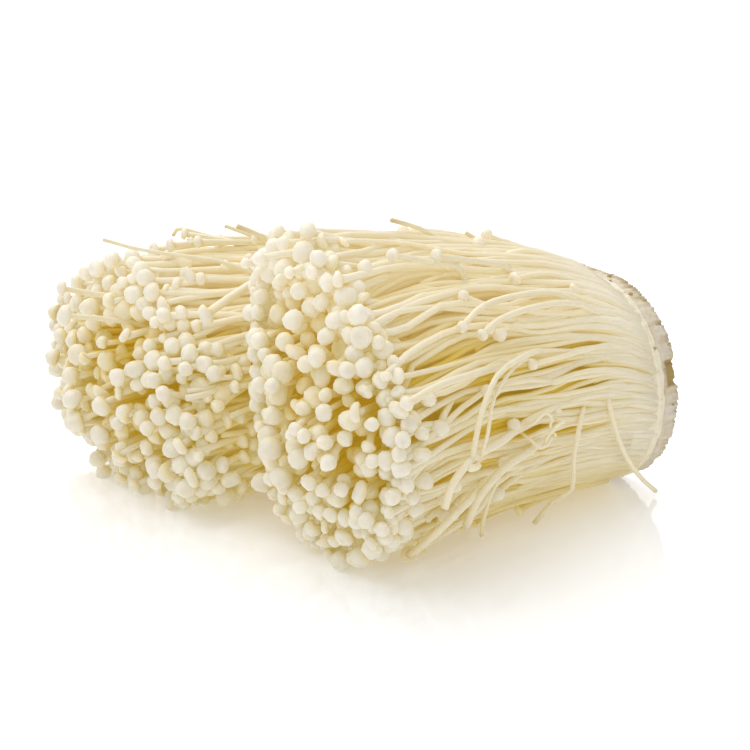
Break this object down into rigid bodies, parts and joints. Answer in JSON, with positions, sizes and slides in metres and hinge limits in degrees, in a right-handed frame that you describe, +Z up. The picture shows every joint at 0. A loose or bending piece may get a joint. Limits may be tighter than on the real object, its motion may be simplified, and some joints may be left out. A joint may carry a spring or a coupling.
{
  "type": "enoki mushroom bunch",
  "caption": "Bunch of fresh enoki mushrooms lying on its side, long thin stems with small round caps growing from one cut base.",
  "frame": {"origin": "centre of the bounding box, on the surface that the bunch lies on", "axes": "+X from the caps to the cut base, +Y from the front cluster to the rear cluster, +Z up"},
  "size_m": [0.1588, 0.1726, 0.0944],
  "materials": {
    "cut_base": "dry fibrous cut mushroom foot, straw white with tan edges",
    "front_cluster": "moist satin mushroom flesh, ivory caps and cream stems",
    "rear_cluster": "moist satin mushroom flesh, ivory caps and cream stems, more golden in the depth"
  },
  "bodies": {
    "root": {"cut_base": "cut_base", "front_cluster": "front_cluster", "rear_cluster": "rear_cluster"}
  },
  "joints": []
}
